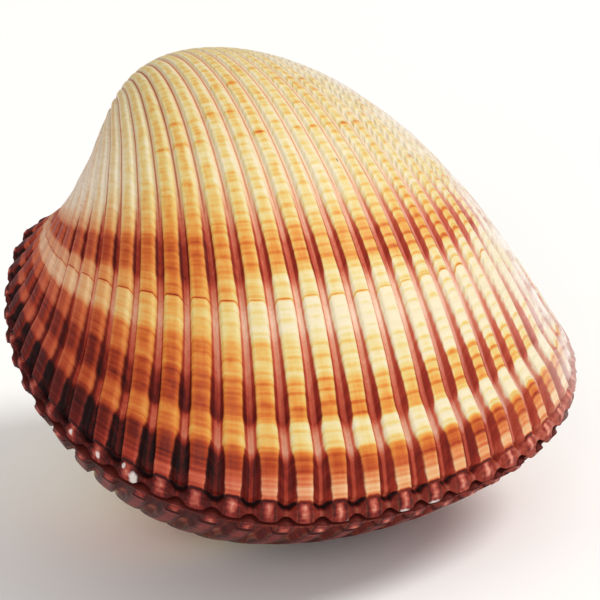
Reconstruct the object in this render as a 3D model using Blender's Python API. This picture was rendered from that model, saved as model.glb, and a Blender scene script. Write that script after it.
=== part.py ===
# A closed cockle: two ribbed, heart-shaped shell valves and the ligament that held them.
# Both valves grow from their beaks in one equiangular spiral, so every growth stage is the
# margin made smaller and turned about the hinge. The pair rests on the lower valve's bulge.
# Lengths are in metres. The shell's front end is +X, its open edge is -Y, and up is +Z.

import math

import bmesh
import bpy
import numpy as np
from mathutils import Matrix, Vector
from mathutils.bvhtree import BVHTree

# Overall size: the reach from the beaks down to the open edge
REACH = 0.0660

# The margin's outline, as its reach from the beaks against the angle below the hinge
FRONT_SLOPE = 0.55
BACK_SLOPE = 0.107
FULLNESS = 0.205
FRONT_LENGTH = 0.344
SQUARENESS = -0.067
CORNER = 0.051
CORNER_BACK = 0.010

# The spiral: how far a growth stage is turned about the hinge, in radians
TURN_LOG = 1.754
TURN_LINEAR = 0.037
TURN_BOW = -0.515
BEAK_TURN = 2.70
BEAK_EASE = 0.35

# Ribs, counted from the middle groove, in shares of the margin's length
MIDDLE_SHARE = 0.437
RIB_PITCH = 0.0216
PITCH_SLOPE = 0.00015
PITCH_BOW = 0.000022
LEAST_PITCH = 0.0175
RIBS_BEHIND = 18
RIBS_AHEAD = 24
RIB_HEIGHT = 0.0011
RELIEF_GROWTH = 1.5
RIB_PROFILE = (0.0, 0.8, 1.0, 0.8)
RIB_COLUMNS = len(RIB_PROFILE)
END_COLUMNS = 4
RIB_FADE = 0.05
HINGE_SHARE = 0.004

# Growth stages that carry a row of points, from the margin to the beak
STAGES = (1.0, 0.978, 0.88, 0.76, 0.64, 0.53, 0.42, 0.32, 0.24, 0.14, 0.05)
CAVITY_STAGES = (0.88, 0.71, 0.54, 0.40, 0.28, 0.19)
BEAK_TIP = 0.6

# The last growth halt leaves a low step across the ribs
HALT_STAGE = 0.978
HALT_DEPTH = 0.0003

# The wavy margin from groove to groove, where the ribs of one valve meet the other's grooves
WAVE = (-1.0, 0.0, 1.0, 0.0)
WAVE_REACH = 0.00035
WAVE_HEIGHT = 0.00060
CLEARANCE = 0.0003

# The wall, and the plate below the beaks that carries the hinge
WALL = 0.0022
HINGE_PLATE = 0.0060
HINGE_PLATE_SPREAD = 0.030

# The ligament in the valley behind the beaks
LIGAMENT_START = 0.005
LIGAMENT_LENGTH = 0.0115
LIGAMENT_RADIUS = 0.0018
LIGAMENT_TAPER = 0.96
LIGAMENT_SIDES = 10
LIGAMENT_STATIONS = 9

# Where the search for the ligament's seat starts and ends, along Y, and its step
SEAT_START = 0.020
SEAT_END = -0.010
SEAT_STEP = 0.0001

# How the closed pair lies: turned about X and then about Y, and worn flat where it stands
REST_PITCH = math.radians(22.5)
REST_ROLL = math.radians(5.0)
WORN_DEPTH = 0.0003

# Edges sharper than this stay crisp in the shading
SHARP_ANGLE = math.radians(50.0)

SHELL_ROUGHNESS = 0.45
LIGAMENT_ROUGHNESS = 0.6
TAN = (0.72, 0.47, 0.22)
MAHOGANY = (0.48, 0.22, 0.12)
LIGAMENT_BROWN = (0.10, 0.055, 0.030)


def clear_scene():
    for item in list(bpy.data.objects):
        bpy.data.objects.remove(item, do_unlink=True)


def make_material(name, colour, roughness):
    material = bpy.data.materials.new(name)
    material.use_nodes = True
    shader = material.node_tree.nodes["Principled BSDF"]
    shader.inputs["Base Color"].default_value = (*colour, 1.0)
    shader.inputs["Roughness"].default_value = roughness
    shader.inputs["Metallic"].default_value = 0.0
    return material


def margin_curve(count=1601):
    """The margin from the back end of the hinge round to its front end, with length shares."""
    sweep = np.linspace(0.0, math.pi, count)
    reach = np.sin(sweep) ** FULLNESS * (
        1.0
        + FRONT_LENGTH * np.cos(sweep)
        + SQUARENESS * np.cos(2.0 * sweep)
        + CORNER * np.cos(3.0 * sweep)
        + CORNER_BACK * np.cos(4.0 * sweep)
    )
    angle = FRONT_SLOPE + sweep / math.pi * (math.pi - FRONT_SLOPE - BACK_SLOPE)
    points = REACH * np.stack([reach * np.cos(angle), -reach * np.sin(angle)], axis=1)[::-1]
    steps = np.linalg.norm(np.diff(points, axis=0), axis=1)
    shares = np.concatenate([[0.0], np.cumsum(steps)]) / steps.sum()
    return points, shares


MARGIN, MARGIN_SHARES = margin_curve()


def margin_at(shares):
    return np.stack([np.interp(shares, MARGIN_SHARES, MARGIN[:, k]) for k in (0, 1)], axis=-1)


def margin_normal(shares, step=0.002):
    """The outward direction of the margin in its own plane."""
    along = margin_at(np.clip(shares + step, 0, 1)) - margin_at(np.clip(shares - step, 0, 1))
    normal = np.stack([along[:, 1], -along[:, 0]], axis=1)
    return normal / np.linalg.norm(normal, axis=1, keepdims=True)


def turn(stage):
    """The angle about the hinge of a growth stage; it eases off before the beaks would cross."""
    raw = -TURN_LOG * np.log(stage) + TURN_LINEAR * (1 - stage) + TURN_BOW * (1 - stage) ** 2
    past = np.maximum(raw - BEAK_TURN, 0.0)
    return np.minimum(raw, BEAK_TURN) + BEAK_EASE * (1.0 - np.exp(-past / BEAK_EASE))


def grow(flat, stage):
    """Points of the margin's plane, carried to a growth stage."""
    angle = turn(stage)
    out = np.empty((len(flat), 3))
    out[:, 0] = flat[:, 0]
    out[:, 1] = flat[:, 1] * np.cos(angle)
    out[:, 2] = -flat[:, 1] * np.sin(angle)
    return out * np.broadcast_to(stage, len(flat))[:, None]


def skin_normal(shares, stage, step=0.001):
    """The outward direction of the smooth skin under the ribs."""
    side = grow(margin_at(shares + step), stage) - grow(margin_at(shares - step), stage)
    growth = grow(margin_at(shares), stage * (1 + step)) - grow(margin_at(shares), stage)
    normal = np.cross(growth, side)
    return normal / np.linalg.norm(normal, axis=1, keepdims=True)


def rib_pitch(index):
    return max(LEAST_PITCH, RIB_PITCH - PITCH_SLOPE * index - PITCH_BOW * index * index)


def column_shares():
    """Each rib's columns, starting in a groove, with a few smooth ones at the hinge's ends."""
    grooves = {0: MIDDLE_SHARE}
    for index in range(RIBS_AHEAD):
        grooves[index + 1] = grooves[index] + rib_pitch(index + 0.5)
    for index in range(0, -RIBS_BEHIND, -1):
        grooves[index - 1] = grooves[index] - rib_pitch(index - 0.5)
    shares = []
    for index in range(-RIBS_BEHIND, RIBS_AHEAD):
        width = grooves[index + 1] - grooves[index]
        shares += [grooves[index] + width * part / RIB_COLUMNS for part in range(RIB_COLUMNS)]
    back = np.linspace(HINGE_SHARE, shares[0], END_COLUMNS, endpoint=False)
    front = np.linspace(grooves[RIBS_AHEAD], 1.0 - HINGE_SHARE, END_COLUMNS)
    return np.concatenate([back, shares, front])


def smooth_step(value):
    value = np.clip(value, 0.0, 1.0)
    return value * value * (3.0 - 2.0 * value)


def valve_points(shares, offset):
    """The outer rows, the inner edge and the cavity rows of the upper valve."""
    phase = (np.arange(len(shares)) - END_COLUMNS + offset) % RIB_COLUMNS
    fade = smooth_step((shares - shares[END_COLUMNS]) / RIB_FADE)
    fade *= smooth_step((shares[-END_COLUMNS] - shares) / RIB_FADE)
    rib = np.array(RIB_PROFILE)[phase] * fade
    wave = np.array(WAVE)[phase] * fade

    flat = margin_at(shares)
    outward = margin_normal(shares)
    edge = flat + outward * (WAVE_REACH * wave + RIB_HEIGHT * rib)[:, None]
    lip = -WAVE_HEIGHT * wave
    rows = [np.column_stack([edge, lip])]
    for stage in STAGES[1:]:
        near = smooth_step((stage - STAGES[2]) / (1.0 - STAGES[2]))
        local = stage * (1.0 + WAVE_REACH / REACH * wave * near)
        height = RIB_HEIGHT * rib * stage ** RELIEF_GROWTH
        height = height + (HALT_DEPTH if stage == HALT_STAGE else 0.0) * fade
        rows.append(grow(flat, local) + skin_normal(shares, local) * height[:, None])

    inside = flat - outward * WALL
    plate = HINGE_PLATE * (1.0 - smooth_step(np.abs(inside[:, 0]) / HINGE_PLATE_SPREAD)) + WALL
    inside[:, 1] = np.minimum(inside[:, 1], -plate)
    rim = np.column_stack([inside, lip])
    thin = WALL / REACH
    cavity = []
    for stage in CAVITY_STAGES:
        scaled = (stage - thin) / (1.0 - thin)
        ring = grow(inside[::RIB_COLUMNS], stage) * scaled / stage
        cavity.append(ring)
    return rows, rim, cavity


def ring_faces(lower, upper):
    """Two closed rings of the same length, joined by triangles."""
    count = len(lower)
    faces = []
    for k in range(count):
        n = (k + 1) % count
        faces.append((lower[k], lower[n], upper[n]))
        faces.append((lower[k], upper[n], upper[k]))
    return faces


def fan_faces(ring, centre):
    return [(ring[k], ring[(k + 1) % len(ring)], centre) for k in range(len(ring))]


def valve_mesh(name, offset, mirrored):
    """One valve as a closed mesh: outer skin, margin, then the smooth inside of the cup."""
    shares = column_shares()
    rows, rim, cavity = valve_points(shares, offset)
    points = []
    rings = []
    for row in rows + [rim] + cavity:
        rings.append(list(range(len(points), len(points) + len(row))))
        points.extend(row)
    beak = len(points)
    points.append(rows[-1].mean(axis=0) * BEAK_TIP)
    deep = len(points)
    points.append(cavity[-1].mean(axis=0))

    outer = rings[: len(rows)]
    edge = rings[len(rows)]
    inner = rings[len(rows) + 1:]
    faces = []
    for below, above in zip(outer, outer[1:]):
        faces += ring_faces(below, above)
    faces += fan_faces(outer[-1], beak)
    faces += ring_faces(edge, outer[0])
    coarse = inner[0]
    for k in range(len(coarse)):
        n = (k + 1) % len(coarse)
        first = RIB_COLUMNS * k
        fine = edge[first : first + RIB_COLUMNS + 1] if n else edge[first:] + [edge[0]]
        half = len(fine) // 2
        for j in range(half):
            faces.append((fine[j + 1], fine[j], coarse[k]))
        faces.append((coarse[n], fine[half], coarse[k]))
        for j in range(half, len(fine) - 1):
            faces.append((fine[j + 1], fine[j], coarse[n]))
    for below, above in zip(inner, inner[1:]):
        faces += [face[::-1] for face in ring_faces(below, above)]
    faces += [face[::-1] for face in fan_faces(inner[-1], deep)]

    spots = np.array(points)
    spots[:, 2] += CLEARANCE / 2
    if mirrored:
        spots[:, 2] *= -1.0
        faces = [face[::-1] for face in faces]
    mesh = bpy.data.meshes.new(name)
    mesh.from_pydata([Vector(p) for p in spots], [], faces)
    mesh.validate()
    return mesh


def lay_down():
    """The turn that brings the closed pair to how it lies."""
    return Matrix.Rotation(REST_ROLL, 4, "Y") @ Matrix.Rotation(REST_PITCH, 4, "X")


def wear_flat(mesh, level):
    """Cut off the rib crests that the shell stands on, at one level, and close the cut."""
    work = bmesh.new()
    work.from_mesh(mesh)
    geometry = work.verts[:] + work.edges[:] + work.faces[:]
    bmesh.ops.bisect_plane(
        work, geom=geometry, dist=1e-7, plane_co=(0, 0, level), plane_no=(0, 0, -1), clear_outer=True
    )
    bmesh.ops.holes_fill(work, edges=[edge for edge in work.edges if edge.is_boundary], sides=0)
    bmesh.ops.triangulate(work, faces=[face for face in work.faces if len(face.verts) > 3])
    work.to_mesh(mesh)
    work.free()


def ligament_mesh(valves):
    """A rounded cord, laid as deep in the valley behind the beaks as it goes."""
    trees = []
    for mesh in valves:
        work = bmesh.new()
        work.from_mesh(mesh)
        trees.append(BVHTree.FromBMesh(work))
        work.free()
    work = bmesh.new()
    rings = []
    for station in range(LIGAMENT_STATIONS):
        share = station / (LIGAMENT_STATIONS - 1)
        swell = math.sqrt(1.0 - LIGAMENT_TAPER * (2.0 * share - 1.0) ** 2)
        radius = LIGAMENT_RADIUS * swell
        x = -LIGAMENT_START - LIGAMENT_LENGTH * share
        y = SEAT_START
        while y > SEAT_END:
            spot = Vector((x, y - SEAT_STEP, 0.0))
            if min(tree.find_nearest(spot)[3] for tree in trees) < radius + CLEARANCE:
                break
            y -= SEAT_STEP
        ring = []
        for k in range(LIGAMENT_SIDES):
            angle = 2.0 * math.pi * k / LIGAMENT_SIDES
            ring.append(work.verts.new((x, y + radius * math.cos(angle), radius * math.sin(angle))))
        rings.append(ring)
    for first, second in zip(rings, rings[1:]):
        for k in range(LIGAMENT_SIDES):
            n = (k + 1) % LIGAMENT_SIDES
            work.faces.new((first[k], first[n], second[n], second[k]))
    work.faces.new(rings[0][::-1])
    work.faces.new(rings[-1])
    bmesh.ops.recalc_face_normals(work, faces=work.faces[:])
    mesh = bpy.data.meshes.new("ligament")
    work.to_mesh(mesh)
    work.free()
    return mesh


def add_piece(name, mesh, material):
    mesh.materials.append(material)
    mesh.shade_smooth()
    mesh.set_sharp_from_angle(angle=SHARP_ANGLE)
    piece = bpy.data.objects.new(name, mesh)
    bpy.context.scene.collection.objects.link(piece)


def main():
    clear_scene()
    upper = valve_mesh("upper_valve", 0, False)
    lower = valve_mesh("lower_valve", RIB_COLUMNS // 2, True)
    ligament = ligament_mesh([upper, lower])
    turned = lay_down()
    for mesh in (upper, lower, ligament):
        mesh.transform(turned)
    level = min(v.co.z for v in lower.vertices) + WORN_DEPTH
    wear_flat(lower, level)
    spots = [v.co for mesh in (upper, lower, ligament) for v in mesh.vertices]
    middle_x = (min(p.x for p in spots) + max(p.x for p in spots)) / 2
    middle_y = (min(p.y for p in spots) + max(p.y for p in spots)) / 2
    stand = Matrix.Translation((-middle_x, -middle_y, -level))
    for mesh in (upper, lower, ligament):
        mesh.transform(stand)
    add_piece("upper_valve", upper, make_material("upper valve", TAN, SHELL_ROUGHNESS))
    add_piece("lower_valve", lower, make_material("lower valve", MAHOGANY, SHELL_ROUGHNESS))
    add_piece("ligament", ligament, make_material("ligament", LIGAMENT_BROWN, LIGAMENT_ROUGHNESS))


main()
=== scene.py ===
import math

import bpy
import numpy as np
from mathutils import Matrix, Vector


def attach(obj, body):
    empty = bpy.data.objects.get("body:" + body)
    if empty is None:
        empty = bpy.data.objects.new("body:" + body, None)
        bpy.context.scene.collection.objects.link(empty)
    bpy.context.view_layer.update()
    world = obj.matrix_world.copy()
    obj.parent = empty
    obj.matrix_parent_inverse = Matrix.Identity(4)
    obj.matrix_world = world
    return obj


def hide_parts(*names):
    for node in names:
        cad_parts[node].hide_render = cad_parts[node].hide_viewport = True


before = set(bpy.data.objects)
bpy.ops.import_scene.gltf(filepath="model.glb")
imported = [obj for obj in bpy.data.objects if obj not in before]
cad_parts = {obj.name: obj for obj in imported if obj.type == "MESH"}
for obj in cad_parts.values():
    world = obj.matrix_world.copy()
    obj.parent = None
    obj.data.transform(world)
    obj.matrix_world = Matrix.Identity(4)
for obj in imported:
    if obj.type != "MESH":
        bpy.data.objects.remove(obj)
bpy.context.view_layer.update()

# A closed cockle, dressed: the two ribbed valves, the ligament behind the beaks, floor and light.
# The shell's own frame has the beaks at its origin, the hinge along X, the open edge at -Y
# and the upper valve at +Z. Lengths are in metres. A stage is a share of the full growth, from
# 0 at the beaks to 1 at the edge; a rib place counts ribs from the middle groove, forwards.
# Pairs of numbers are where something starts and where it is complete.

# How the shell grows: the margin's outline, the spiral, and how the closed pair lies
growth = {
    "reach": 0.0660,            # from the beaks down to the open edge
    "frontSlope": 0.55,         # the margin's angle below the hinge at its front end
    "backSlope": 0.107,
    "fullness": 0.205,
    "frontLength": 0.344,
    "squareness": -0.067,
    "corner": 0.051,
    "cornerBack": 0.010,
    "turnLog": 1.754,           # the spiral's turn about the hinge
    "turnLinear": 0.037,
    "turnBow": -0.515,
    "beakTurn": 2.70,           # past this turn it eases off, so the beaks don't cross
    "beakEase": 0.35,
    "beakTip": 0.8,             # where the closing point lies, as a share of the last ring
    "restPitch": 22.5,          # degrees, about X
    "restRoll": 5.0,            # degrees, about Y
    "beakPlace": (-0.00459, 0.02686, 0.04282),
}

# The ribs; a rib place is the rib's number and the share across it. A lane runs from 0 on a
# crest's middle to 1 in a groove's middle
ribs = {
    "middle": 0.437,            # where the middle groove meets the margin, as a share of its length
    "pitch": 0.0216,
    "pitchSlope": 0.00015,
    "pitchBow": 0.000022,
    "leastPitch": 0.0175,
    "behind": 18,
    "ahead": 24,
    "height": 0.0011,
    "heightPower": 1.5,         # how the relief grows with the shell
    "wallLane": 0.66,
    "wallSoft": 0.12,
    "wallDrawn": 0.10,          # how much the crests narrow towards the last halt
    "wallDrawnStage": (0.925, 0.975),
    "wallPast": 0.06,           # and past it
    "crown": 0.10,
    "drawnIn": 0.035,           # how much the ribs crowd together above the margin
    "drawnTo": 0.367,
    "drawnLoss": 0.7,           # how much of that is lost near the margin
    "drawnStage": (0.89, 0.95),
    "drawnEnds": 0.2,           # eases the crowding off at both ends of the hinge
    "fade": 0.05,
    "hingeShare": 0.004,
    "acrossRib": (0.0, 0.05, 0.10, 0.15, 0.205, 0.27, 0.37, 0.5, 0.63, 0.73, 0.795, 0.85, 0.90, 0.95),
    "plainColumns": 5,
}

# The margin: the last growth halt, the knobs past it, and the teeth that lock the valves
margin = {
    "waveStage": (0.88, 1.0),   # the wavy edge comes in between these stages
    "halt": 0.9785,             # the last halt's stage on the crests
    "haltDip": 0.0085,          # how much later it runs in the grooves
    "haltDipLane": (0.25, 0.90),
    "haltSoft": 0.0022,
    "haltStep": 0.00030,
    "knob": 0.00040,
    "knobStage": 0.9905,
    "knobHalf": 0.0045,
    "pit": 0.00070,
    "pitBefore": 0.0025,        # the pits lie this much before the halt
    "pitHalf": 0.0035,
    "tongue": 0.00050,          # how far the grooves fill up past the halt
    "tongueSoft": 0.004,
    "gap": 0.00016,
    "lipStage": 1.02,           # marks the lip and the cup as past the last growth
    "lipInsets": (0.06, 0.25, 0.6),
    "lipDrops": (0.00006, 0.0001, 0.00005),
    "wall": 0.0022,
    "hingePlate": 0.0060,
    "hingeSpread": 0.030,
    "cupLevels": (0.93, 0.85, 0.76, 0.66, 0.56, 0.46, 0.36, 0.28, 0.20),
}

# Unevenness of the skin; four numbers are a wander's depth, its number of waves and their pace
# across the ribs and along them
skin = {
    "ragged": (0.0016, 7, 9.0, 3.0),    # the front's edge, in stages
    "raggedPlace": (4.0, 10.0),
    "wornLow": 0.65,            # how much the front ribs are worn down
    "wornPlace": (10.5, 14.0),
    "wornStage": (0.60, 0.85),
    "uneven": (0.06, 5, 2.3, 16.0),     # a rib's height along its length, as a share
    "wallWander": (0.02, 4, 3.1, 9.0),
    "firstLine": 0.7735,        # an earlier, finer growth line
    "firstDip": 0.0085,
    "firstDipLane": (0.42, 0.95),
    "firstDepth": 0.00007,
    "firstHalf": 0.0022,
    "threads": (0.00005, 9, 1.1, 60.0),
    "threadStage": (0.2, 0.5),
}

# The two valves: where their ribs fall, and how far crests and grooves reach past the margin
upperLook = {
    "seed": 11,
    "offset": 0.0,
    "crestReach": 0.0008,
    "grooveReach": 0.0055,
    "redEdge": 0.0,             # 1 carries the red of the edge further up
    "marked": True,             # chips and specks
}
lowerLook = {
    "seed": 23,
    "offset": 0.5,
    "crestReach": 0.0045,
    "grooveReach": 0.0058,
    "redEdge": 1.0,
    "marked": False,
}


def rise(value, low, high):
    # 0 below low and 1 above high, smooth between
    share = np.clip((value - low) / (high - low), 0.0, 1.0)
    return share * share * (3.0 - 2.0 * share)


def marginCurve(count=3201):
    sweep = np.linspace(0.0, math.pi, count)
    reach = np.sin(sweep) ** growth["fullness"] * (
        1.0
        + growth["frontLength"] * np.cos(sweep)
        + growth["squareness"] * np.cos(2.0 * sweep)
        + growth["corner"] * np.cos(3.0 * sweep)
        + growth["cornerBack"] * np.cos(4.0 * sweep)
    )
    opening = math.pi - growth["frontSlope"] - growth["backSlope"]
    angle = growth["frontSlope"] + sweep / math.pi * opening
    points = growth["reach"] * np.stack([reach * np.cos(angle), -reach * np.sin(angle)], axis=1)[::-1]
    steps = np.linalg.norm(np.diff(points, axis=0), axis=1)
    return points, np.concatenate([[0.0], np.cumsum(steps)]) / steps.sum()


marginPoints, marginShares = marginCurve()


def marginAt(shares):
    return np.stack([np.interp(shares, marginShares, marginPoints[:, k]) for k in (0, 1)], axis=-1)


def marginOut(shares, step=0.002):
    # the margin's outward direction in its own plane
    along = marginAt(np.clip(shares + step, 0, 1)) - marginAt(np.clip(shares - step, 0, 1))
    out = np.stack([along[..., 1], -along[..., 0]], axis=-1)
    return out / np.linalg.norm(out, axis=-1, keepdims=True)


def turnAt(stage):
    raw = (
        -growth["turnLog"] * np.log(stage)
        + growth["turnLinear"] * (1 - stage)
        + growth["turnBow"] * (1 - stage) ** 2
    )
    past = np.maximum(raw - growth["beakTurn"], 0.0)
    eased = growth["beakEase"] * (1.0 - np.exp(-past / growth["beakEase"]))
    return np.minimum(raw, growth["beakTurn"]) + eased


def grow(flat, stage):
    # points of the margin's plane, carried to a growth stage
    angle = turnAt(stage)
    turned = np.stack([flat[..., 0], flat[..., 1] * np.cos(angle), -flat[..., 1] * np.sin(angle)], axis=-1)
    return turned * stage[..., None]


def skinOut(shares, stage, step=0.001):
    # the outward direction of the smooth skin under the ribs
    side = grow(marginAt(shares + step), stage) - grow(marginAt(shares - step), stage)
    ahead = grow(marginAt(shares), stage * (1 + step)) - grow(marginAt(shares), stage)
    out = np.cross(ahead, side)
    return out / np.linalg.norm(out, axis=-1, keepdims=True)


def ribPitch(index):
    pitch = ribs["pitch"] - ribs["pitchSlope"] * index - ribs["pitchBow"] * index ** 2
    return max(ribs["leastPitch"], pitch)


def ribColumns():
    # every column's place among the ribs and its share of the margin
    grooves = {0: ribs["middle"]}
    for index in range(ribs["ahead"]):
        grooves[index + 1] = grooves[index] + ribPitch(index + 0.5)
    for index in range(0, -ribs["behind"], -1):
        grooves[index - 1] = grooves[index] - ribPitch(index - 0.5)
    first, last = -ribs["behind"], ribs["ahead"]
    backEnd = first - (grooves[first] - ribs["hingeShare"]) / ribs["pitch"]
    frontEnd = last + (1.0 - ribs["hingeShare"] - grooves[last]) / ribs["pitch"]
    places = list(np.linspace(backEnd, first, ribs["plainColumns"], endpoint=False))
    for index in range(first, last):
        places += [index + part for part in ribs["acrossRib"]]
    places += list(np.linspace(last, frontEnd, ribs["plainColumns"]))
    known = [backEnd] + sorted(grooves) + [frontEnd]
    values = [ribs["hingeShare"]] + [grooves[k] for k in sorted(grooves)] + [1.0 - ribs["hingeShare"]]
    places = np.array(places)
    return places, np.interp(places, known, values), grooves[first], grooves[last]


# Growth stages of the rows, close together where the shell halted: from, to, step
rowRuns = [(1.0, 0.965, 0.0016), (0.965, 0.79, 0.0075), (0.79, 0.765, 0.0028), (0.765, 0.30, 0.0095)]
beakRows = {"least": 0.035, "shrink": 0.925}


def stageRows():
    rows = []
    for start, end, step in rowRuns:
        rows += list(np.arange(start, end, -step))
    stage = rows[-1]
    while stage > beakRows["least"]:
        stage *= beakRows["shrink"]
        rows.append(stage)
    return np.array(rows)


def wander(entry, seed, first, second):
    # a smooth wandering value, the sum of a few slanting waves
    depth, count, firstPace, secondPace = skin[entry]
    dice = np.random.RandomState(seed)
    total = 0.0
    for _ in range(count):
        phase = dice.uniform(0, 2 * math.pi)
        phase = phase + first * firstPace * dice.uniform(-1.0, 1.0)
        phase = phase + second * secondPace * dice.uniform(-1.0, 1.0)
        total = total + np.sin(phase)
    return depth * total / math.sqrt(count)


def hump(value, centre, width):
    return np.exp(-(((value - centre) / width) ** 2))


def ribHeight(own, stage, fade, seed):
    # the relief over the smooth skin: ribs, halts, knobs, pits and growth threads
    number = np.floor(own)
    lanes = np.broadcast_to(np.abs(2.0 * (own - number) - 1.0), stage.shape)
    halt = margin["halt"] + margin["haltDip"] * rise(lanes, *margin["haltDipLane"])
    past = rise(stage, halt, halt + margin["haltSoft"])
    wallLane = ribs["wallLane"] - ribs["wallDrawn"] * rise(stage, *ribs["wallDrawnStage"])
    wallLane = wallLane - ribs["wallPast"] * past + wander("wallWander", seed + 1, number, stage)
    wall = rise(lanes, wallLane - ribs["wallSoft"], wallLane + ribs["wallSoft"])
    crest = (1.0 - wall) * (1.0 - ribs["crown"] * (lanes / ribs["wallLane"]) ** 2)
    height = ribs["height"] * np.minimum(stage, 1.0) ** ribs["heightPower"] * crest * fade
    height = height * (1.0 + wander("uneven", seed, number, stage))
    frontWear = rise(own, *skin["wornPlace"]) * rise(stage, *skin["wornStage"])
    height = height * (1.0 - skin["wornLow"] * frontWear)
    height = height - margin["haltStep"] * past * crest * fade
    height = height + margin["knob"] * hump(stage, margin["knobStage"], margin["knobHalf"]) * crest * fade
    pits = hump(stage, halt - margin["pitBefore"], margin["pitHalf"])
    height = height - margin["pit"] * pits * wall * fade
    tongues = rise(stage, halt, halt + margin["tongueSoft"])
    height = height + margin["tongue"] * tongues * wall * fade
    firstLine = skin["firstLine"] + skin["firstDip"] * rise(lanes, *skin["firstDipLane"])
    height = height - skin["firstDepth"] * hump(stage, firstLine, skin["firstHalf"])
    return height + wander("threads", seed + 2, own, stage) * rise(stage, *skin["threadStage"])


def valveRings(look):
    # the valve as closed rings, from deep in the cup round the lip and up to the beak
    seed = look["seed"]
    places, shares, backGroove, frontGroove = ribColumns()
    own = places + look["offset"]
    fade = rise(shares, backGroove, backGroove + ribs["fade"])
    fade = fade * (1.0 - rise(shares, frontGroove - ribs["fade"], frontGroove))
    wave = -np.cos(2.0 * math.pi * own) * fade
    rows = np.repeat(stageRows()[:, None], len(shares), axis=1)
    reach = np.where(wave > 0, look["crestReach"], look["grooveReach"]) * wave
    ragged = wander("ragged", seed + 4, own, rows) * rise(own, *skin["raggedPlace"])
    stage = rows * (1.0 + (reach + ragged) * rise(rows, *margin["waveStage"]))
    drawn = ribs["drawnIn"] * (1.0 - ribs["drawnLoss"] * rise(stage, *ribs["drawnStage"]))
    ends = rise(shares, 0.0, ribs["drawnEnds"]) * (1.0 - rise(shares, 1.0 - ribs["drawnEnds"], 1.0))
    share = shares - drawn * (shares - ribs["drawnTo"]) * ends
    height = ribHeight(own, stage, fade, seed)
    outer = grow(marginAt(share), stage) + skinOut(share, stage) * height[..., None]

    inside = marginAt(shares) - marginOut(shares) * margin["wall"]
    spread = 1.0 - rise(np.abs(inside[:, 0]), 0.0, margin["hingeSpread"])
    inside[:, 1] = np.minimum(inside[:, 1], -margin["hingePlate"] * spread - margin["wall"])
    inner = np.column_stack([inside, outer[0][:, 2]])
    rim = [outer[0] + (inner - outer[0]) * inset for inset in margin["lipInsets"]]
    for ring, drop in zip(rim, margin["lipDrops"]):
        ring[:, 2] -= drop
    thin = margin["wall"] / growth["reach"]
    cup = []
    for level in margin["cupLevels"]:
        scaled = (level - thin) / (1.0 - thin)
        cup.append(grow(inside, np.full(len(inside), level)) * scaled / level)

    rings = cup[::-1] + [inner] + rim[::-1] + list(outer)
    lipRings = len(cup) + 1 + len(rim)
    stages = [np.full(len(shares), margin["lipStage"])] * lipRings + list(stage)
    return rings, stages, own, len(cup) + 1


def tubeFaces(rings, columns):
    faces = []
    for r in range(rings - 1):
        low, high = r * columns, (r + 1) * columns
        for c in range(columns):
            n = (c + 1) % columns
            faces.append((low + c, low + n, high + n, high + c))
    return faces


def layDown():
    turned = Matrix.Rotation(math.radians(growth["restRoll"]), 4, "Y")
    turned = turned @ Matrix.Rotation(math.radians(growth["restPitch"]), 4, "X")
    return Matrix.Translation(growth["beakPlace"]) @ turned


def laidPoints(points):
    laid = np.array(layDown())
    return np.asarray(points) @ laid[:3, :3].T + laid[:3, 3]


def newPiece(name, points, faces, attributes, materials):
    mesh = bpy.data.meshes.new(name)
    mesh.from_pydata([tuple(p) for p in points], [], faces)
    mesh.validate()
    for label, values in attributes.items():
        layer = mesh.attributes.new(label, "FLOAT", "POINT")
        layer.data.foreach_set("value", np.asarray(values, dtype=np.float32))
    mesh.shade_smooth()
    for material in materials:
        mesh.materials.append(material)
    piece = bpy.data.objects.new(name, mesh)
    bpy.context.scene.collection.objects.link(piece)
    return piece


def makeValve(name, node, look, mirrored, materials):
    rings, stages, own, innerRings = valveRings(look)
    columns = len(own)
    points = np.concatenate(rings)
    points[:, 2] += margin["gap"] / 2
    faces = tubeFaces(len(rings), columns)
    innerFaces = (innerRings - 1) * columns
    deep, beak = len(points), len(points) + 1
    lastRing = (len(rings) - 1) * columns
    for c in range(columns):
        n = (c + 1) % columns
        faces.append((n, c, deep))
        faces.append((lastRing + c, lastRing + n, beak))
    points = np.vstack([points, rings[0].mean(axis=0), rings[-1].mean(axis=0) * growth["beakTip"]])
    stageValues = np.concatenate(stages + [[1.0, stages[-1][0]]])
    placeValues = np.concatenate([np.tile(own, len(rings)), [0.0, 0.0]])
    if mirrored:
        points[:, 2] *= -1.0
        faces = [face[::-1] for face in faces]
    points = laidPoints(points)
    points[:, 2] = np.maximum(points[:, 2], 0.0)    # the worn flats that it lies on
    piece = newPiece(name, points, faces, {"stage": stageValues, "ribPlace": placeValues}, materials)
    slots = np.zeros(len(piece.data.polygons), dtype=np.int32)
    slots[:innerFaces] = 1
    piece.data.polygons.foreach_set("material_index", slots)
    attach(piece, "root")
    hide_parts(node)


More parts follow.
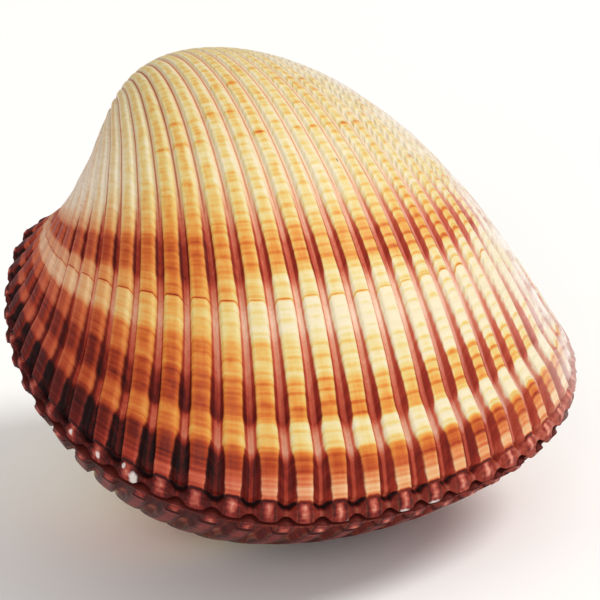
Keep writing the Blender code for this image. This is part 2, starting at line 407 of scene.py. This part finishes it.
# Shader maths: a strand wraps a socket, so an expression on strands adds its nodes
class Strand:
    def __init__(self, tree, socket=None):
        self.tree = tree
        self.socket = socket

    def node(self, kind, settings=None, links=None, outlet=0):
        made = self.tree.nodes.new("ShaderNode" + kind)
        for name, value in (settings or {}).items():
            if name == "stops":
                setStops(made.color_ramp, value)
            else:
                setattr(made, name, value)
        for name, value in (links or {}).items():
            if isinstance(value, Strand):
                self.tree.links.new(value.socket, made.inputs[name])
            else:
                made.inputs[name].default_value = value
        return Strand(self.tree, made.outputs[outlet])

    def maths(self, operation, *values, clamp=False):
        return self.node("Math", {"operation": operation, "use_clamp": clamp}, dict(enumerate(values)))

    def __add__(self, other):
        return self.maths("ADD", self, other)

    def __radd__(self, other):
        return self.maths("ADD", other, self)

    def __sub__(self, other):
        return self.maths("SUBTRACT", self, other)

    def __rsub__(self, other):
        return self.maths("SUBTRACT", other, self)

    def __mul__(self, other):
        return self.maths("MULTIPLY", self, other)

    def __rmul__(self, other):
        return self.maths("MULTIPLY", other, self)

    def __truediv__(self, other):
        return self.maths("DIVIDE", self, other)

    def __pow__(self, other):
        return self.maths("POWER", self, other)

    def clamped(self):
        return self.maths("ADD", self, 0.0, clamp=True)

    def rise(self, low, high):
        # 0 below low and 1 above high, smooth between
        links = {"Value": self, "From Min": low, "From Max": high}
        return self.node("MapRange", {"interpolation_type": "SMOOTHSTEP"}, links)

    def fall(self, low, high):
        return 1.0 - self.rise(low, high)

    def between(self, low, high, soft):
        # 1 between low and high, 0 outside
        return self.rise(low - soft, low) * self.fall(high, high + soft)

    def near(self, centre, half):
        # 1 at the centre, falling to 0 on both sides
        return 1.0 - (self.maths("ABSOLUTE", self - centre) / half).clamped()

    def ramp(self, stops):
        return self.node("ValToRGB", {"stops": stops}, {"Fac": self})

    def at(self, x, y, z):
        return self.node("CombineXYZ", None, {"X": x, "Y": y, "Z": z})

    def noise(self, vector, scale, detail=2.0, rough=0.5):
        links = {"Vector": vector, "Scale": scale, "Detail": detail, "Roughness": rough}
        return self.node("TexNoise", None, links)

    def blend(self, factor, first, second):
        return self.node("Mix", {"data_type": "RGBA"}, {0: factor, 6: first, 7: second}, outlet=2)

    def attribute(self, name):
        return self.node("Attribute", {"attribute_name": name}, None, outlet=2)


def setStops(ramp, stops):
    # stops are (place, grey) or (place, (r, g, b)) with colours as seen on a screen, 0 to 255
    while len(ramp.elements) > 1:
        ramp.elements.remove(ramp.elements[-1])
    for index, (place, value) in enumerate(stops):
        element = ramp.elements[0] if index == 0 else ramp.elements.new(place)
        element.position = place
        element.color = colour(value) if isinstance(value, tuple) else (value, value, value, 1.0)


def colour(screen):
    light = [(c / 255) for c in screen]
    return (*[c / 12.92 if c <= 0.04045 else ((c + 0.055) / 1.055) ** 2.4 for c in light], 1.0)


def newMaterial(name):
    # a material, its shader, and an empty strand that adds nodes
    material = bpy.data.materials.new(name)
    material.use_nodes = True
    shader = material.node_tree.nodes["Principled BSDF"]
    return material, shader, Strand(material.node_tree)


def plug(material, strand, inlet):
    material.node_tree.links.new(strand.socket, inlet)


def plugRelief(material, shader, s, relief, sheen):
    links = {"Strength": sheen["bumpStrength"], "Distance": sheen["bumpDepth"], "Height": relief}
    plug(material, s.node("Bump", None, links), shader.inputs["Normal"])


# The pigment runs from 0, cream, to 1, nearly black; one palette for crests and one for grooves.
# Its growth bands, by stage, differ at the back, in the middle and at the front of the shell
pigments = {
    "crest": [
        (0.0, (226, 213, 180)), (0.12, (222, 205, 152)), (0.22, (219, 195, 126)), (0.32, (218, 177, 98)),
        (0.46, (216, 144, 64)), (0.60, (200, 104, 43)), (0.74, (166, 63, 28)), (0.88, (104, 28, 18)),
        (1.0, (45, 10, 8)),
    ],
    "groove": [
        (0.0, (240, 222, 204)), (0.2, (228, 184, 158)), (0.4, (209, 134, 104)), (0.55, (192, 88, 64)),
        (0.70, (154, 49, 33)), (0.82, (102, 25, 18)), (1.0, (30, 8, 8)),
    ],
    "crestBack": [
        (0.36, 0.26), (0.44, 0.20), (0.60, 0.16), (0.66, 0.30), (0.694, 0.50), (0.704, 0.72), (0.742, 0.70),
        (0.752, 0.48), (0.772, 0.46), (0.780, 0.36), (0.810, 0.37), (0.820, 0.64), (0.838, 0.68),
        (0.850, 0.66), (0.858, 0.84), (0.893, 0.85), (0.900, 0.72), (0.923, 0.70), (0.932, 0.93),
        (0.957, 0.95), (0.968, 0.90), (0.985, 0.92),
    ],
    "crestMiddle": [
        (0.36, 0.27), (0.52, 0.30), (0.61, 0.31), (0.66, 0.40), (0.697, 0.49), (0.703, 0.61), (0.742, 0.60),
        (0.750, 0.53), (0.772, 0.50), (0.778, 0.37), (0.812, 0.37), (0.818, 0.55), (0.838, 0.60),
        (0.852, 0.55), (0.857, 0.69), (0.893, 0.76), (0.898, 0.57), (0.925, 0.56), (0.930, 0.78),
        (0.945, 0.84), (0.957, 0.78), (0.968, 0.66), (0.985, 0.74),
    ],
    "crestFront": [
        (0.36, 0.27), (0.52, 0.30), (0.59, 0.22), (0.65, 0.23), (0.68, 0.30), (0.697, 0.36), (0.703, 0.47),
        (0.738, 0.46), (0.748, 0.24), (0.772, 0.19), (0.778, 0.06), (0.812, 0.08), (0.818, 0.24),
        (0.838, 0.28), (0.852, 0.20), (0.857, 0.40), (0.875, 0.45), (0.888, 0.57), (0.896, 0.57),
        (0.901, 0.20), (0.925, 0.24), (0.930, 0.60), (0.945, 0.73), (0.955, 0.62), (0.963, 0.45),
        (0.972, 0.41), (0.985, 0.52),
    ],
    "grooveBack": [
        (0.36, 0.22), (0.60, 0.22), (0.66, 0.46), (0.694, 0.58), (0.703, 0.70), (0.742, 0.68), (0.752, 0.42),
        (0.80, 0.32), (0.815, 0.54), (0.85, 0.64), (0.860, 0.76), (0.893, 0.80), (0.90, 0.68), (0.925, 0.70),
        (0.932, 0.94), (0.98, 0.92),
    ],
    "grooveMiddle": [
        (0.36, 0.40), (0.46, 0.36), (0.60, 0.26), (0.66, 0.44), (0.694, 0.60), (0.703, 0.66), (0.742, 0.69),
        (0.756, 0.52), (0.790, 0.28), (0.815, 0.40), (0.85, 0.52), (0.860, 0.68), (0.893, 0.84),
        (0.90, 0.50), (0.922, 0.44), (0.932, 0.86), (0.96, 0.88), (0.98, 0.76),
    ],
    "grooveFront": [
        (0.36, 0.30), (0.46, 0.22), (0.60, 0.14), (0.66, 0.26), (0.697, 0.38), (0.703, 0.52), (0.740, 0.58),
        (0.756, 0.32), (0.790, 0.16), (0.815, 0.36), (0.85, 0.48), (0.875, 0.59), (0.895, 0.62),
        (0.904, 0.36), (0.922, 0.30), (0.934, 0.64), (0.96, 0.66), (0.98, 0.52),
    ],
    "earlyGroove": [
        (0.0, (234, 212, 182)), (0.25, (228, 194, 156)), (0.5, (206, 146, 106)), (0.75, (168, 88, 58)),
    ],
    # the knobs' maroon; its light salmon end is a painted highlight on their tops
    "knobs": [(0.05, (210, 138, 116)), (0.25, (176, 86, 70)), (0.5, (126, 40, 34)), (0.8, (62, 16, 14))],
    # painted highlight along the floors of the front grooves
    "floorHighlight": (226, 162, 150),
    "lip": (92, 34, 29),
    # the pale front: partly bleached shell, partly painted highlight
    "bleachedAndLit": (236, 229, 222),
    "scuffed": (192, 142, 130),
    "umbo": (196, 148, 108),
    # short darker dashes where growth paused: stage, first rib, last rib
    "pauses": [
        (0.455, 2.0, 6.0), (0.486, 0.0, 2.0), (0.484, 4.0, 7.0), (0.535, -3.0, 1.0), (0.573, -4.0, 9.0),
    ],
    # small marks: their colour, then stage, rib, half height in stages, half width in ribs
    "chips": ((222, 212, 206), [
        (0.995, -4.3, 0.0085, 0.13), (0.986, -4.62, 0.0035, 0.06), (0.992, -5.45, 0.0050, 0.08),
        (0.990, -6.5, 0.0042, 0.07), (1.002, 4.45, 0.0045, 0.22), (1.002, 3.45, 0.0040, 0.20),
        (1.002, 1.8, 0.0035, 0.16),
    ]),
    "specks": ((70, 34, 26), [
        (0.630, 9.7, 0.0035, 0.05), (0.624, 11.0, 0.0035, 0.05), (0.624, 4.7, 0.0030, 0.04),
    ]),
}

# Where along the ribs the paint changes, in rib places
zones = {
    "front": (3.0, 9.0),
    "toMiddle": (-7.0, -3.0),   # from the back's bands to the middle's
    "toFront": (-3.0, 1.5),     # from the middle's bands to the front's
    "quietBack": (-8.0, -2.0),  # the back has fainter lines
    "redBack": (-10.5, -3.0),   # and red crests
    "redEdge": (-3.0, 3.0),     # ahead of it the crests by the margin are less red
    "paleCrests": (2.5, 7.0),
    "palestCrests": (8.0, 12.0),
    "paleGrooves": (6.5, 11.0),
    "narrowMost": (-11.0, -5.0),    # behind these two the grooves' paint is narrower
    "narrow": (-4.0, 0.0),
    "wedges": (-1.0, 2.0),      # ahead of these two the bands widen along the grooves
    "widerWedges": (2.0, 5.0),
    "knobHighlights": (-4.0, 3.0),
    "wornEnd": (9.5, 12.5),
    "wornMost": (11.0, 14.0),
    "wornLess": (15.0, 19.0),
}

# The stages of the paint's changes; a third number is how softly a band begins and ends
spans = {
    "umbo": (0.22, 0.36),
    "oldBack": (0.5, 0.6),
    "bleachedAndLitEnd": (0.60, 0.70),
    "early": (0.62, 0.70),      # the young shell, tan in its grooves, ends here
    "earlyWedge": (0.66, 0.725),
    "earlyWedgeEnd": (0.738, 0.755),
    "redEdge": (0.76, 0.83),
    "palest": (0.68, 1.0, 0.01),
    "paleBands": (0.81, 0.925, 0.01),
    "darkBand": (0.858, 0.893, 0.006),
    "wedge": (0.835, 0.885),
    "wedgeEnd": (0.892, 0.905),
    "openFloor": (0.925, 0.94),
    "widening": (0.925, 0.960),
    "lastWidening": (0.964, 0.978),
    "salmon": (0.932, 0.978, 0.006),
    "redEnd": (0.935, 0.965),
    "hairs": (0.952, 0.976, 0.006),
    # painted shade just past the last halt's step
    "shadeAfterHalt": (0.9790, 0.984, 0.003),
    "knobs": (0.984, 0.994, 0.004),
    "lip": (1.006, 1.012),
}

# The lanes of the changes across a rib
across = {
    "sides": (0.15, 0.55),      # the crests' paler sides
    "wall": (0.70, 0.81),       # where the groove's paint takes over from the crest's
    "floor": (0.76, 0.87),
    "thinLine": (0.84, 0.97),
    "knobHighlightLane": (0.0, 0.30),
    "knobSide": (0.20, 0.40),
}

# Noise over the shell: what it runs along and how many waves, twice, then the seed's shift,
# detail and roughness. The first ones lie on the shell, the others follow the growth lines
skinNoises = {
    "drift": ("place", 0.12, "stage", 3.0, 0.0, 2.0, 0.5),
    "streaks": ("place", 15.0, "stage", 14.0, 5.0, 2.0, 0.5),
    "flecks": ("place", 9.0, "stage", 190.0, 0.0, 2.0, 0.5),
    "worn": ("place", 0.5, "stage", 22.0, 3.0, 4.0, 0.65),
    "mottle": ("place", 0.9, "stage", 30.0, 7.0, 4.0, 0.6),
}
lineNoises = {
    "spacing": ("line", 30.0, "number", 3.7, 0.0, 1.0, 0.5),
    "fineLines": ("line", 260.0, "place", 0.5, 0.0, 3.0, 0.6),
    "blotches": ("line", 55.0, "place", 2.2, 0.0, 2.0, 0.5),
    "grain": ("line", 420.0, "place", 3.0, 0.0, 3.0, 0.6),
}

# How much each field counts in a pigment or in the relief
mixes = {
    "crestTone": {"ribTone": 0.06, "drift": 0.08},
    "crestLines": {"fineLines": 0.14, "ribLines": 0.30, "blotches": 0.26, "streaks": 0.08},
    "grooveTone": {"ribTone": 0.06, "drift": 0.10, "front": -0.05},
    "grooveLines": {"ribLines": 0.20, "fineLines": 0.14, "streaks": 0.15},
    "dashes": {"ribTone": 0.004, "ribLines": 0.010},
    "knobs": {"ribLines": 0.5, "fineLines": 0.4, "flecks": 0.6},
    "relief": {"fineLines": 0.5, "grain": 0.3, "ribLines": 0.5},
}

# Sheen, relief and widths of the paint
finish = {
    "bead": 0.0126,             # how far apart the growth threads are, in stages
    "firstMark": 0.0017,        # half heights of the marks at halts, in stages
    # the last halt's mark is painted shade under its step
    "haltMark": 0.0030,
    "dashMark": 0.006,
    "dashEnd": 0.3,             # how softly a dash ends, in ribs
    "roughness": 0.42,
    "specular": 0.12,
    "bumpStrength": 0.7,
    "bumpDepth": 0.00030,
}


def mixed(fields, mix):
    # the sum of some fields, each by its share
    parts = [share * fields[name] for name, share in mix.items()]
    total = parts[0]
    for part in parts[1:]:
        total = total + part
    return total


def addNoises(s, fields, noises, seed):
    # each one from -0.5 to 0.5
    for name, (first, firstWaves, second, secondWaves, shift, detail, rough) in noises.items():
        spot = s.at(fields[first] * firstWaves, fields[second] * secondWaves, seed + shift)
        fields[name] = s.noise(spot, 1.0, detail, rough) - 0.5


def shellFields(s, look):
    # what the paint is worked out from: places on the shell, growth lines and noise
    seed = float(look["seed"])
    stage, place = s.attribute("stage"), s.attribute("ribPlace")
    number = s.maths("FLOOR", place)
    lane = s.maths("ABSOLUTE", 2.0 * (place - number) - 1.0)
    fields = {"stage": stage, "place": place, "number": number, "lane": lane}
    flat = {"noise_dimensions": "2D"}
    fields["ribTone"] = s.node("TexWhiteNoise", flat, {"Vector": s.at(number, seed, 0.0)}) - 0.5
    fields["front"] = front = place.rise(*zones["front"])
    fields["back"] = place.fall(*zones["toMiddle"])
    fields["toFront"] = place.rise(*zones["toFront"])
    fields["early"] = stage.fall(*spans["early"])
    addNoises(s, fields, skinNoises, seed)
    # a growth line is flat on the crests and runs a little later in the grooves
    line = stage - skin["firstDip"] * lane.rise(*skin["firstDipLane"]) - 0.007 * lane * lane * (0.2 + front)
    fields["line"] = line = line + 0.004 * fields["drift"] + 0.003 * fields["ribTone"]
    addNoises(s, fields, lineNoises, seed)
    ribLines = s.noise(s.at(line * 90.0, number * 5.3, lane * 0.5), 1.0, 2.0) - 0.5
    threads = line / finish["bead"] + 1.3 * fields["spacing"]
    fields["ribLines"] = ribLines
    fields["bead"] = s.maths("SINE", threads * (2.0 * math.pi))
    fields["hairs"] = s.maths("SINE", threads * (4.0 * math.pi) + 5.0 * ribLines)
    return fields


def bandsOf(s, fields, part):
    # the growth bands of the crests or the grooves, from back to front
    line = fields["line"]
    middle = line.ramp(pigments[part + "Middle"])
    forward = s.blend(fields["toFront"], middle, line.ramp(pigments[part + "Front"]))
    return s.blend(fields["back"], forward, line.ramp(pigments[part + "Back"]))


def crestPigment(s, fields):
    stage, place, line = fields["stage"], fields["place"], fields["line"]
    early = fields["early"]
    lines = mixed(fields, mixes["crestLines"])
    threads = 0.05 + 0.07 * fields["toFront"] + 0.12 * fields["front"] * (1.0 - 0.75 * early)
    lines = lines + threads * (fields["bead"].rise(0.2, 0.95) - 0.3)
    lines = lines - (0.03 + 0.07 * line.between(*spans["hairs"])) * fields["hairs"].rise(-0.4, 1.0)
    lines = lines * (0.42 + 0.58 * place.rise(*zones["quietBack"]))
    lines = lines * (1.0 - 0.35 * line.between(*spans["salmon"]))
    ridged = bandsOf(s, fields, "crest") + mixed(fields, mixes["crestTone"]) + lines
    ridged = ridged - (0.09 + 0.09 * early) * fields["lane"].rise(*across["sides"])
    ridged = ridged + 0.24 * early * fields["blotches"]
    ridged = ridged + 0.05 * fields["back"] * stage.fall(*spans["oldBack"])
    pale = 0.20 * place.rise(*zones["paleCrests"]) * line.between(*spans["paleBands"])
    ridged = ridged - pale * (1.0 - 0.5 * line.between(*spans["darkBand"]))
    ridged = ridged - 0.22 * place.rise(*zones["palestCrests"]) * line.between(*spans["palest"])
    ridged = ridged + 0.36 * line.near(skin["firstLine"], finish["firstMark"])
    dashLine = stage + mixed(fields, mixes["dashes"])
    for pause, first, last in pigments["pauses"]:
        among = place.rise(first - finish["dashEnd"], first) * place.fall(last, last + finish["dashEnd"])
        dash = dashLine.near(pause, finish["dashMark"])
        ridged = ridged + 0.26 * dash * among * (0.7 + 0.8 * fields["ribTone"])
    return ridged


def groovePigment(s, fields):
    # the grooves' pigment, how far it has taken over from the crests', and the groove's floor
    stage, place, lane, line = fields["stage"], fields["place"], fields["lane"], fields["line"]
    front, early = fields["front"], fields["early"]
    grooved = bandsOf(s, fields, "groove") + mixed(fields, mixes["grooveTone"])
    grooved = grooved - 0.12 * place.rise(*zones["paleGrooves"])
    edge = lane + 0.30 * grooved + 0.05 * front
    edge = edge + (0.004 + 0.008 * front) * fields["bead"] + 0.05 * fields["ribLines"]
    edge = edge - 0.03 * place.fall(*zones["narrowMost"]) - 0.09 * place.fall(*zones["narrow"])
    # the dark of a band widens along each groove and ends short
    wedge = line.rise(*spans["wedge"]) * line.fall(*spans["wedgeEnd"])
    earlyWedge = line.rise(*spans["earlyWedge"]) * line.fall(*spans["earlyWedgeEnd"])
    wedges = place.rise(*zones["wedges"])
    edge = edge + (0.07 * wedges + 0.03 * place.rise(*zones["widerWedges"])) * wedge
    edge = edge + 0.05 * wedges * earlyWedge
    edge = edge + 0.09 * stage.rise(*spans["widening"]) + 0.07 * stage.rise(*spans["lastWidening"])
    wallLow, wallHigh = across["wall"]
    wall = edge.rise(wallLow - 0.02 * early, wallHigh + 0.12 * early)
    floorLow, floorHigh = across["floor"]
    ending = line.rise(*spans["openFloor"])
    floor = lane.rise(floorLow + 0.08 * ending, floorHigh + 0.06 * ending)
    # painted shade darkens the grooves' walls at the feet of the ribs, but in the young shell a thin brown
    # line runs along the middle
    wallShade = (0.30 - 0.24 * grooved) * (1.0 - floor) * (1.0 - 0.35 * front) * (1.0 - early)
    grooved = grooved + wallShade + mixed(fields, mixes["grooveLines"])
    grooved = grooved + early * (0.42 * lane.rise(*across["thinLine"]) - 0.10)
    return grooved + 0.06 * line.near(skin["firstLine"], finish["firstMark"]), wall, floor


def ribPaint(s, fields, ridged, grooved, wall, floor):
    place, early = fields["place"], fields["early"]
    crest = ridged.ramp(pigments["crest"])
    endRed = (0.95 - 0.40 * place.rise(*zones["redEdge"])) * fields["stage"].rise(*spans["redEnd"])
    redness = (0.8 * place.fall(*zones["redBack"]) + endRed).clamped()
    crest = s.blend(redness, crest, (ridged - 0.04).ramp(pigments["groove"]))
    groove = s.blend(0.9 * early, grooved.ramp(pigments["groove"]), grooved.ramp(pigments["earlyGroove"]))
    # the front grooves take a painted highlight, strongest along their floors
    pale = (0.12 + 0.42 * floor) * fields["front"] * (1.0 - early) * (1.0 - 0.9 * grooved.rise(0.42, 0.62))
    groove = s.blend(pale, groove, colour(pigments["floorHighlight"]))
    return s.blend(wall, crest, groove)


def knobPaint(fields, look, haltShade):
    lane, front = fields["lane"], fields["front"]
    # darker on the halt line, painted shade under its step
    tone = 0.50 + mixed(fields, mixes["knobs"]) + 0.6 * haltShade
    # a painted highlight on the knobs' tops
    highlight = 0.24 + 0.14 * fields["place"].rise(*zones["knobHighlights"])
    tone = tone - highlight * lane.fall(*across["knobHighlightLane"]) * fields["stage"].between(*spans["knobs"])
    tone = tone + 0.24 * lane.rise(*across["knobSide"]) * (1.0 - 1.1 * front) - 0.08 * front
    return (tone + 0.06 * look["redEdge"]).ramp(pigments["knobs"])


def wornShare(fields, past):
    # how far the front end is scuffed
    place = fields["place"]
    share = place.rise(*zones["wornEnd"]) * (0.40 + 0.55 * place.rise(*zones["wornMost"]))
    share = share * fields["worn"].rise(-0.16, 0.04) * (1.0 - 0.6 * past)
    return share * (1.0 - 0.6 * place.rise(*zones["wornLess"]))


def wornAndLitPaint(s, fields, tint, scuffed):
    # paler in front of the beaks, partly bleached shell and partly painted highlight, scuffed at the front
    # end, brown on the beaks
    stage, worn = fields["stage"], fields["worn"]
    bleachedAndLit = (fields["place"] - 6.8 - (stage - 0.40) * 18.0 + 8.0 * worn).rise(-3.0, 4.0)
    bleachedAndLit = bleachedAndLit * stage.fall(*spans["bleachedAndLitEnd"]) * 0.9
    patches = scuffed * fields["mottle"].rise(-0.04, 0.12) * 0.75
    pale = s.blend(patches, colour(pigments["bleachedAndLit"]), colour(pigments["scuffed"]))
    tint = s.blend(s.maths("MAXIMUM", bleachedAndLit, scuffed), tint, pale)
    umbo = stage.fall(*spans["umbo"]) * (0.55 + 0.6 * worn)
    return s.blend(umbo.clamped(), tint, colour(pigments["umbo"]))


def smallMarks(s, fields, tint):
    for shade, spots in (pigments["chips"], pigments["specks"]):
        for level, rib, tall, wide in spots:
            up, side = (fields["stage"] - level) / tall, (fields["place"] - rib) / wide
            reach = (up * up + side * side) ** 0.5 + 0.7 * fields["flecks"]
            tint = s.blend(0.85 - 0.85 * reach.rise(0.5, 1.15), tint, colour(shade))
    return tint


def shellMaterial(name, look):
    material, shader, s = newMaterial(name)
    fields = shellFields(s, look)
    stage, front = fields["stage"], fields["front"]
    ridged = crestPigment(s, fields)
    grooved, wall, floor = groovePigment(s, fields)

    # the last halt is painted dark as shade under its step, darkest as painted shadow in the grooves' pits;
    # past it the knobs have a paint of their own
    haltLine = stage - margin["haltDip"] * fields["lane"].rise(*margin["haltDipLane"])
    haltShade = haltLine.near(margin["halt"], finish["haltMark"])
    past = haltLine.rise(margin["halt"], margin["halt"] + finish["haltMark"])
    past = s.maths("MAXIMUM", past, look["redEdge"] * stage.rise(*spans["redEdge"]))
    ridged = (ridged + 0.22 * haltShade + 0.28 * haltLine.between(*spans["shadeAfterHalt"])).clamped()
    # painted shadow in the grooves' pits at the halt
    grooved = (grooved + 0.50 * haltShade * (1.0 - 0.95 * front)).clamped()

    tint = ribPaint(s, fields, ridged, grooved, wall, floor)
    tint = s.blend(past * (1.0 - 0.35 * wall), tint, knobPaint(fields, look, haltShade))
    tint = s.blend(stage.rise(*spans["lip"]), tint, colour(pigments["lip"]))
    scuffed = wornShare(fields, past)
    tint = wornAndLitPaint(s, fields, tint, scuffed)
    if look["marked"]:
        tint = smallMarks(s, fields, tint)
    plug(material, tint, shader.inputs["Base Color"])

    rough = finish["roughness"] + 0.22 * fields["grain"] + 0.14 * wall
    plug(material, rough, shader.inputs["Roughness"])
    shader.inputs["Specular IOR Level"].default_value = finish["specular"]
    relief = mixed(fields, mixes["relief"]) + (0.10 + 0.25 * front) * (1.0 - wall) * fields["bead"]
    relief = relief + 0.8 * s.maths("MAXIMUM", past, scuffed) * fields["mottle"]
    plugRelief(material, shader, s, relief, finish)
    return material


lining = {
    "white": (244, 238, 228),
    "cloud": (226, 206, 190),
    "cloudScale": 60.0,
    "roughness": 0.25,
}


def liningMaterial():
    material, shader, s = newMaterial("porcelain lining")
    cloud = s.noise(s.node("NewGeometry"), lining["cloudScale"], 3.0)
    tint = s.blend(cloud, colour(lining["white"]), colour(lining["cloud"]))
    plug(material, tint, shader.inputs["Base Color"])
    shader.inputs["Roughness"].default_value = lining["roughness"]
    return material


ligament = {
    "start": 0.005,
    "length": 0.0115,
    "radius": 0.0018,
    "sides": 40,
    "stations": 60,
    "plump": 0.93,              # its radius between the ridges, as a share
    "blunt": 0.0004,            # keeps its ends from closing to a point
    "ridges": [(0.05, 9, 3.0), (0.04, 14, -5.0)],   # depth, number round it, twist along it
    "bands": (0.04, 70.0, 2.0),
    "tints": [(0.25, (28, 17, 11)), (0.5, (66, 40, 24)), (0.68, (112, 76, 46)), (0.85, (150, 112, 74))],
    "roughness": 0.45,
    "bumpStrength": 0.7,
    "bumpDepth": 0.0003,
}


def ligamentMaterial():
    material, shader, s = newMaterial("dried ligament")
    along = s.attribute("along")
    around = s.attribute("around")
    fibre = s.noise(s.at(along * 6.0, around * 26.0, 0.0), 1.0, 4.0, 0.65)
    flake = s.noise(s.at(along * 30.0, around * 8.0, 4.0), 1.0, 3.0)
    plug(material, (0.6 * fibre + 0.4 * flake).ramp(ligament["tints"]), shader.inputs["Base Color"])
    plug(material, ligament["roughness"] + 0.35 * fibre, shader.inputs["Roughness"])
    relief = fibre + 0.6 * flake
    plugRelief(material, shader, s, relief, ligament)
    return material


def makeLigament():
    # a rounded cord in the valley behind the beaks, ridged along its length
    toShell = layDown().inverted()
    bed = [toShell @ spot.co for spot in bpy.data.objects["ligament"].data.vertices]
    bedX = sorted({round(spot.x, 5) for spot in bed})
    bedY = [np.mean([spot.y for spot in bed if abs(spot.x - x) < 0.0001]) for x in bedX]
    sides, stations = ligament["sides"], ligament["stations"]
    bandDepth, bandCount, bandLean = ligament["bands"]
    points, along, around = [], [], []
    for station in range(stations + 1):
        share = station / stations
        swell = math.sqrt(max(1.0 - (2.0 * share - 1.0) ** 2, ligament["blunt"]))
        x = -ligament["start"] - ligament["length"] * share
        y = float(np.interp(x, bedX, bedY))
        for k in range(sides):
            angle = 2.0 * math.pi * k / sides
            ridge = sum(depth * math.sin(count * angle + twist * share)
                        for depth, count, twist in ligament["ridges"])
            band = bandDepth * math.sin(bandCount * share + bandLean * math.sin(2 * angle))
            radius = ligament["radius"] * swell * (ligament["plump"] + ridge + band)
            points.append((x, y + radius * math.cos(angle), radius * math.sin(angle)))
            along.append(share)
            around.append(k / sides if k <= sides / 2 else 1.0 - k / sides)
    faces = [face[::-1] for face in tubeFaces(stations + 1, sides)]
    faces.append(tuple(range(sides)))
    faces.append(tuple(range(stations * sides, (stations + 1) * sides))[::-1])
    attributes = {"along": along, "around": around}
    piece = newPiece("driedLigament", laidPoints(points), faces, attributes, [ligamentMaterial()])
    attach(piece, "root")
    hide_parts("ligament")


studio = {
    "look": (0.00978, 0.01306, 0.02545),
    "azimuth": -21.947,         # degrees; 0 looks along +Y
    "elevation": 23.159,
    "roll": -3.988,
    "distance": 0.66627,
    "lens": 259.116,            # millimetres, on the sensor below
    "sensor": 36.0,
    "nearest": 0.01,
    "floorSize": 6.0,
    "floorTint": (250, 249, 247),
    "floorRoughness": 0.9,
    "skyStrength": 0.55,
    # name, place, size, power, tint
    "lights": [
        ("key", (1.50, -0.60, 1.90), 1.1, 38.0, (1.0, 0.98, 0.95)),
        ("fill", (-1.1, -1.6, 0.9), 1.4, 14.0, (1.0, 1.0, 1.0)),
    ],
}


def makeCamera():
    camera = bpy.data.cameras.new("photo view")
    camera.sensor_width = studio["sensor"]
    camera.lens = studio["lens"]
    camera.clip_start = studio["nearest"]
    azimuth, elevation = math.radians(studio["azimuth"]), math.radians(studio["elevation"])
    level = math.cos(elevation)
    away = Vector((math.sin(azimuth) * level, -math.cos(azimuth) * level, math.sin(elevation)))
    spin = away.to_track_quat("Z", "Y").to_matrix()
    spin = spin @ Matrix.Rotation(math.radians(studio["roll"]), 3, "Z")
    stand = Vector(studio["look"]) + away * studio["distance"]
    holder = bpy.data.objects.new("photo view", camera)
    holder.matrix_world = Matrix.Translation(stand) @ spin.to_4x4()
    bpy.context.scene.collection.objects.link(holder)
    bpy.context.scene.camera = holder


def makeLight(name, place, size, power, tint):
    lamp = bpy.data.lights.new(name, "AREA")
    lamp.shape = "DISK"
    lamp.size = size
    lamp.energy = power
    lamp.color = tint
    holder = bpy.data.objects.new(name, lamp)
    aim = Vector(place) - Vector(studio["look"])
    holder.matrix_world = Matrix.Translation(place) @ aim.to_track_quat("Z", "Y").to_matrix().to_4x4()
    bpy.context.scene.collection.objects.link(holder)


def makeStudio():
    mesh = bpy.data.meshes.new("paper floor")
    half = studio["floorSize"] / 2
    corners = [(-half, -half, 0), (half, -half, 0), (half, half, 0), (-half, half, 0)]
    mesh.from_pydata(corners, [], [(0, 1, 2, 3)])
    material, shader, _ = newMaterial("white paper")
    shader.inputs["Base Color"].default_value = colour(studio["floorTint"])
    shader.inputs["Roughness"].default_value = studio["floorRoughness"]
    mesh.materials.append(material)
    floor = bpy.data.objects.new("paper_floor", mesh)
    bpy.context.scene.collection.objects.link(floor)
    world = bpy.data.worlds.new("soft room")
    world.use_nodes = True
    sky = world.node_tree.nodes["Background"]
    sky.inputs["Color"].default_value = (1.0, 1.0, 1.0, 1.0)
    sky.inputs["Strength"].default_value = studio["skyStrength"]
    bpy.context.scene.world = world
    for light in studio["lights"]:
        makeLight(*light)


print("camera and studio")
bpy.context.scene.view_settings.view_transform = "Standard"
makeCamera()
makeStudio()

print("valves")
porcelain = liningMaterial()
makeValve("upperValve", "upper_valve", upperLook, False, [shellMaterial("upper shell", upperLook), porcelain])
makeValve("lowerValve", "lower_valve", lowerLook, True, [shellMaterial("lower shell", lowerLook), porcelain])

print("ligament")
makeLigament()
